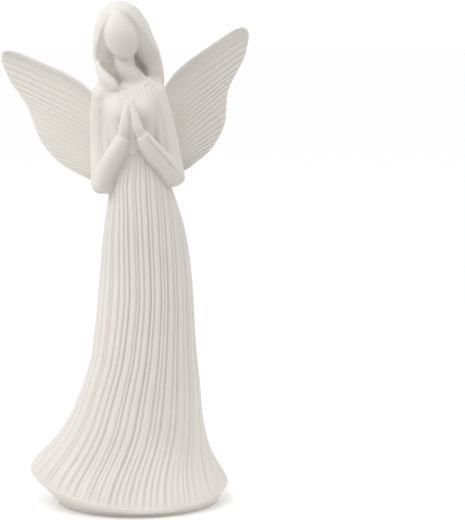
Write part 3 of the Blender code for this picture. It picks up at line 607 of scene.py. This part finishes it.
def wing_piece(name, side):
    """A wing with ribs on its front, a plain back and a thick rounded top edge."""
    rim_rows, per_rib, columns = 18, 8, 64
    places = [WING_RIM_SHARE * row / rim_rows for row in range(rim_rows)]
    places += edge_places(WING_RIM_SHARE, WING_RIBS * per_rib)
    rows = len(places) - 1

    def place(face):
        def point(down, along):
            row = round(down * rows)
            across = places[row]
            flat = WING_THICKNESS / 2
            bead = (WING_RIM_RADIUS - flat) * (1 - smoothstep((across - WING_RIM_ROUND) / WING_RIM_ROUND))
            half = (flat + bead) * rounded_edge(across, WING_RIM_ROUND)
            half *= rounded_edge(1 - across, 0.02) * rounded_edge(1 - along, 0.03)
            rib = ((row - rim_rows) / per_rib) % 1.0
            groove = (1 - (4 * rib * (1 - rib)) ** 0.6) if row > rim_rows + 1 and face > 0 else 0.0
            fade = smoothstep(along / 0.8) * rounded_edge(1 - across, 0.05)
            faint, middle, reach = WING_RIB_FADE[side]
            fade *= 1 - faint * math.exp(-((across - middle) / reach) ** 2)
            half -= min(half * 0.8, WING_RIB_DEPTH * groove * (0.2 + 0.8 * fade))
            return wing_point(side, across, along, face * half)
        return point

    shape = bmesh.new()
    for face in (1, -1):
        moulded(shape, rows, columns, place(face))
    bmesh.ops.remove_doubles(shape, verts=shape.verts, dist=1e-4)
    root = [edge for edge in shape.edges if edge.is_boundary]
    bmesh.ops.holes_fill(shape, edges=root, sides=0)
    return finished(name, shape)


def hair_front(x, height):
    """Depth of the uncut hair's front at a place in front view."""
    for upper, lower in zip(HAIR, HAIR[1:]):
        if lower[0] <= height <= upper[0]:
            share = (upper[0] - height) / (upper[0] - lower[0])
            section = (blend(p, q, share) for p, q in zip(upper[1:], lower[1:]))
            centre_x, half_width, centre_y, half_depth = section
            return centre_y - half_depth * math.sqrt(max(0.0, 1 - ((x - centre_x) / half_width) ** 2))
    return HAIR[0][3]


def hair_hollow():
    """The form cut out of the hair for the face and neck."""
    middle_x, middle_z = HAIR_OPENING_CENTRE
    rows = 56

    def place(across, along):
        end = along in (0.0, 1.0)
        share_along = min(1.0, max(0.0, (along * rows - 1) / (rows - 2)))
        depth, share, follow, aside, lift = curve_through(HAIR_HOLLOW, share_along)
        x, z = curve_through(HAIR_OPENING, across, closed=True)
        y = blend(HAIR_HOLLOW_LEVEL, hair_front(x, z), follow) + depth
        share = 0.0 if end else share
        return Vector((middle_x + aside + (x - middle_x) * share, y, middle_z + lift + (z - middle_z) * share))

    shape = bmesh.new()
    moulded(shape, 80, rows, place)
    return finished("hair_hollow", shape)


def hair_form():
    """The hair with its hollow, as one closed form."""
    shape = bmesh.new()
    add_stack(shape, HAIR, 80, 90)
    hair = finished("hair", shape)
    hollow = hair_hollow()
    cut = hair.modifiers.new("hollow", "BOOLEAN")
    cut.operation = "DIFFERENCE"
    cut.solver = "EXACT"
    cut.object = hollow
    return hair, hollow


def body_forms():
    """Chest, shoulders, neck, head and arms as overlapping closed forms."""
    shape = bmesh.new()
    add_chest(shape)
    add_limb(shape, SHOULDERS)
    add_limb(shape, NECK)
    add_stack(shape, HEAD, 64, 64, HEAD_FULLNESS)
    add_limb(shape, HAIR_LOCK)
    add_limb(shape, HAIR_SIDE)
    for side in ("left", "right"):
        fore = [(*spot, spot[-1]) for spot in FOREARMS[side]]
        upper = [(*spot, SLEEVE_RADIUS, SLEEVE_RADIUS) for spot in UPPER_ARMS[side]]
        upper[-1] = fore[0]
        add_limb(shape, upper)
        add_limb(shape, fore, 64, 60, (True, False), SLEEVE_CORNER[side], SLEEVE_SQUARENESS[side])
        wrist = fore[-1][-1] - CUFF_STEP
        hand = [(x, y, z, min(wide, wrist), deep) for x, y, z, wide, deep in HANDS[side]]
        add_limb(shape, hand, 48, 44, (True, True), HAND_CORNER, HAND_SQUARENESS)
    for filling in FILLINGS.values():
        add_limb(shape, filling)
    return finished("body_forms", shape)


def soften(shape, area, passes):
    """Evens out an area of a skin, a little more each time."""
    for _ in range(passes):
        bmesh.ops.smooth_vert(
            shape, verts=area, factor=0.5, use_axis_x=True, use_axis_y=True, use_axis_z=True,
        )


def upper_piece():
    """The upper figure, its forms melted into one skin as in a casting."""
    hair, hollow = hair_form()
    body = body_forms()
    shape = bmesh.new()
    graph = bpy.context.evaluated_depsgraph_get()
    for form in (hair, body):
        shape.from_mesh(form.evaluated_get(graph).to_mesh())
    mesh = bpy.data.meshes.new("upper_figure")
    shape.to_mesh(mesh)
    shape.free()
    whole = bpy.data.objects.new("upper_figure", mesh)
    bpy.context.scene.collection.objects.link(whole)
    skin = whole.modifiers.new("skin", "REMESH")
    skin.mode = "VOXEL"
    skin.voxel_size = BODY_GRAIN * MM
    graph = bpy.context.evaluated_depsgraph_get()
    skinned = bpy.data.meshes.new_from_object(whole.evaluated_get(graph))
    for used in (hair, hollow, body, whole):
        bpy.data.objects.remove(used, do_unlink=True)
    shape = bmesh.new()
    shape.from_mesh(skinned)
    bmesh.ops.scale(shape, vec=(1 / MM, 1 / MM, 1 / MM), verts=shape.verts)
    soften(shape, shape.verts, SKIN_PASSES)
    low, high = SHOULDER_HEIGHTS
    shoulders = [vert for vert in shape.verts if low < vert.co.z < high and vert.co.y > SHOULDER_FRONT]
    left_shoulder = [
        vert for vert in shoulders if vert.co.z < LEFT_SHOULDER_TOP and vert.co.x < LEFT_SHOULDER_INNER
    ]
    soften(shape, shoulders, SHOULDER_PASSES)
    soften(shape, left_shoulder, LEFT_SHOULDER_PASSES)
    dress(shape)
    score_sleeve(shape)
    return finished("upper_figure", shape)


def collar_height(x):
    """Height of the collar's edge at a place across the chest."""
    for left, right in zip(COLLAR, COLLAR[1:]):
        if left[0] <= x <= right[0]:
            return blend(left[1], right[1], smoothstep((x - left[0]) / (right[0] - left[0])))
    return COLLAR[-1][1]


def dress(shape):
    """Sets the neck in behind the collar's edge and draws the fine pleats under it."""
    shape.normal_update()
    moves = []
    for vert in shape.verts:
        x, y, z = vert.co
        if not all(low < value < high for low, value, high in zip(COLLAR_LOW, vert.co, COLLAR_HIGH)):
            continue
        above = z - collar_height(x)
        front = smoothstep((COLLAR_HIGH[1] - y) / 3.0) * smoothstep((x + 9.5) / 4.0)
        set_in = COLLAR_STEP * smoothstep(above / 0.9) * (1 - smoothstep((above - 2.0) / 9.0))
        rim = 0.1 * math.exp(-((above + 0.9) / 0.8) ** 2)
        turn = math.atan2(x - PLEAT_CENTRE[0], PLEAT_CENTRE[1] - z) / PLEAT_SPACING
        pleat = math.exp(-((turn - round(turn)) / 0.18) ** 2)
        length = PLEAT_LENGTH * (0.75 + 0.25 * math.sin(5.3 * round(turn) + 1.0))
        fade = smoothstep((-above - 0.4) / 3.0) * (1 - smoothstep(-above / length))
        fade *= (0.35 + 0.65 * smoothstep((x + 2.0) / 5.0)) * smoothstep((y - COLLAR_LOW[1]) / 1.5)
        moves.append((vert, vert.normal * (front * (rim - set_in) - PLEAT_DEPTH * pleat * fade * front)))
    for vert, move in moves:
        vert.co += move


def score_sleeve(shape):
    """Scores the fine crease along the right forearm."""
    start, end = (Vector(spot) for spot in SLEEVE_CREASE)
    way = end - start
    for vert in shape.verts:
        x, y, z = vert.co
        if y > CREASE_BACK or x < start.x - 2.0 or not (end.y - 2.0 < z < start.y + 2.0):
            continue
        share = min(1.0, max(0.0, (Vector((x, z)) - start).dot(way) / way.length_squared))
        away = (Vector((x, z)) - start - way * share).length
        ends = smoothstep(share / 0.08) * smoothstep((1 - share) / 0.15)
        vert.co -= vert.normal * (CREASE_DEPTH * ends * math.exp(-(away / CREASE_WIDTH) ** 2))


def bisque():
    """Matt off-white unglazed porcelain with a fine, even grain."""
    material = bpy.data.materials.new("white_bisque")
    material.use_nodes = True
    nodes, links = material.node_tree.nodes, material.node_tree.links
    shader = nodes["Principled BSDF"]
    shader.inputs["Roughness"].default_value = 0.6
    shader.inputs["Specular IOR Level"].default_value = 0.35
    shader.inputs["Subsurface Weight"].default_value = 0.15
    shader.inputs["Subsurface Radius"].default_value = (1.0, 0.85, 0.7)
    shader.inputs["Subsurface Scale"].default_value = 0.004
    place = nodes.new("ShaderNodeTexCoord")
    clouds = nodes.new("ShaderNodeTexNoise")
    clouds.inputs["Scale"].default_value = BISQUE_CLOUDS
    clouds.inputs["Detail"].default_value = 3.0
    tint = nodes.new("ShaderNodeValToRGB")
    for element, position, colour in zip(tint.color_ramp.elements, (0.35, 0.65), BISQUE_TINTS):
        element.position = position
        element.color = colour
    grain = nodes.new("ShaderNodeTexNoise")
    grain.inputs["Scale"].default_value = BISQUE_GRAIN
    grain.inputs["Detail"].default_value = 2.0
    bump = nodes.new("ShaderNodeBump")
    bump.inputs["Strength"].default_value = 0.15
    bump.inputs["Distance"].default_value = 0.0002
    links.new(place.outputs["Object"], clouds.inputs["Vector"])
    links.new(place.outputs["Object"], grain.inputs["Vector"])
    links.new(clouds.outputs["Fac"], tint.inputs["Fac"])
    links.new(tint.outputs["Color"], shader.inputs["Base Color"])
    links.new(grain.outputs["Fac"], bump.inputs["Height"])
    links.new(bump.outputs["Normal"], shader.inputs["Normal"])
    return material


def graded(material, value, places, levels, target):
    """Sets a socket to run between two levels while a value runs between two places."""
    nodes, links = material.node_tree.nodes, material.node_tree.links
    step = nodes.new("ShaderNodeMapRange")
    step.inputs["From Min"].default_value, step.inputs["From Max"].default_value = places
    step.inputs["To Min"].default_value, step.inputs["To Max"].default_value = levels
    links.new(value, step.inputs["Value"])
    links.new(step.outputs["Result"], target)


def floor_material():
    """Matt white studio floor that glows a little under and behind the figure and is dimmer in front of it."""
    material = bpy.data.materials.new("studio_white")
    material.use_nodes = True
    nodes, links = material.node_tree.nodes, material.node_tree.links
    shader = nodes["Principled BSDF"]
    shader.inputs["Roughness"].default_value = 0.9
    place = nodes.new("ShaderNodeTexCoord")
    split = nodes.new("ShaderNodeSeparateXYZ")
    shader.inputs["Emission Color"].default_value = (1.0, 1.0, 1.0, 1.0)
    links.new(place.outputs["Object"], split.inputs["Vector"])
    back = split.outputs["Y"]
    graded(material, back, FLOOR_GREY_PLACES, FLOOR_GREYS, shader.inputs["Base Color"])
    graded(material, back, FLOOR_GLOW_PLACES, FLOOR_GLOWS, shader.inputs["Emission Strength"])
    return material


def add_floor():
    """A wide pale floor under the figure."""
    shape = bmesh.new()
    bmesh.ops.create_grid(shape, x_segments=1, y_segments=1, size=FLOOR_HALF_WIDTH)
    bmesh.ops.translate(shape, vec=(0, 0, -FLOOR_GAP), verts=shape.verts)
    mesh = bpy.data.meshes.new("studio_floor")
    shape.to_mesh(mesh)
    shape.free()
    floor = bpy.data.objects.new("studio_floor", mesh)
    bpy.context.scene.collection.objects.link(floor)
    floor.data.materials.append(floor_material())
    floor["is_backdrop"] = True


def add_light(name, place, aim, size, power):
    """A square soft light that faces its aim."""
    lamp = bpy.data.lights.new(name, "AREA")
    lamp.size = size
    lamp.energy = power
    light = bpy.data.objects.new(name, lamp)
    light.location = place
    light.rotation_euler = (Vector(aim) - Vector(place)).to_track_quat("-Z", "Y").to_euler()
    bpy.context.scene.collection.objects.link(light)


def add_studio():
    """White surroundings, dimmer in front of the figure, with soft lights from the upper left and above."""
    world = bpy.data.worlds.new("white_studio")
    world.use_nodes = True
    nodes, links = world.node_tree.nodes, world.node_tree.links
    way = nodes.new("ShaderNodeTexCoord")
    split = nodes.new("ShaderNodeSeparateXYZ")
    links.new(way.outputs["Generated"], split.inputs["Vector"])
    last = None
    for axis, share in SKY_GROWTH:
        add = nodes.new("ShaderNodeMath")
        add.operation = "MULTIPLY_ADD"
        add.inputs[1].default_value = share
        add.inputs[2].default_value = SKY_MIDDLE
        links.new(split.outputs[axis], add.inputs[0])
        if last:
            links.new(last, add.inputs[2])
        last = add.outputs["Value"]
    level = nodes.new("ShaderNodeValToRGB")
    for place in SKY_PLACES[1:-1]:
        level.color_ramp.elements.new(place)
    for element, place, grey in zip(level.color_ramp.elements, SKY_PLACES, SKY_LEVELS):
        element.position = place
        element.color = (grey, grey, grey, 1.0)
    links.new(last, level.inputs["Fac"])
    links.new(level.outputs["Color"], nodes["Background"].inputs["Color"])
    nodes["Background"].inputs["Strength"].default_value = SKY_STRENGTH
    bpy.context.scene.world = world
    bpy.context.scene.view_settings.view_transform = "Standard"
    add_light("key", *KEY_LIGHT)
    add_light("top", *TOP_LIGHT)
    add_floor()


def add_camera():
    """The camera at the photograph's place."""
    lens = bpy.data.cameras.new("camera")
    lens.lens = CAMERA_LENS
    camera = bpy.data.objects.new("camera", lens)
    camera.location = CAMERA_PLACE
    camera.rotation_euler = Euler((math.radians(90 - CAMERA_DOWN), 0.0, -math.radians(CAMERA_RIGHT)), "XYZ")
    bpy.context.scene.collection.objects.link(camera)
    bpy.context.scene.camera = camera


def main():
    """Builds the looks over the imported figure."""
    finish = bisque()
    pieces = [gown_piece(), wing_piece("wing_left", -1), wing_piece("wing_right", 1), upper_piece()]
    for piece in pieces:
        piece.data.materials.append(finish)
        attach(piece, "root")
        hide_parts("angel_figure")
        piece.data.calc_loop_triangles()
        print("triangles", piece.name, len(piece.data.loop_triangles))
    add_studio()
    add_camera()


main()
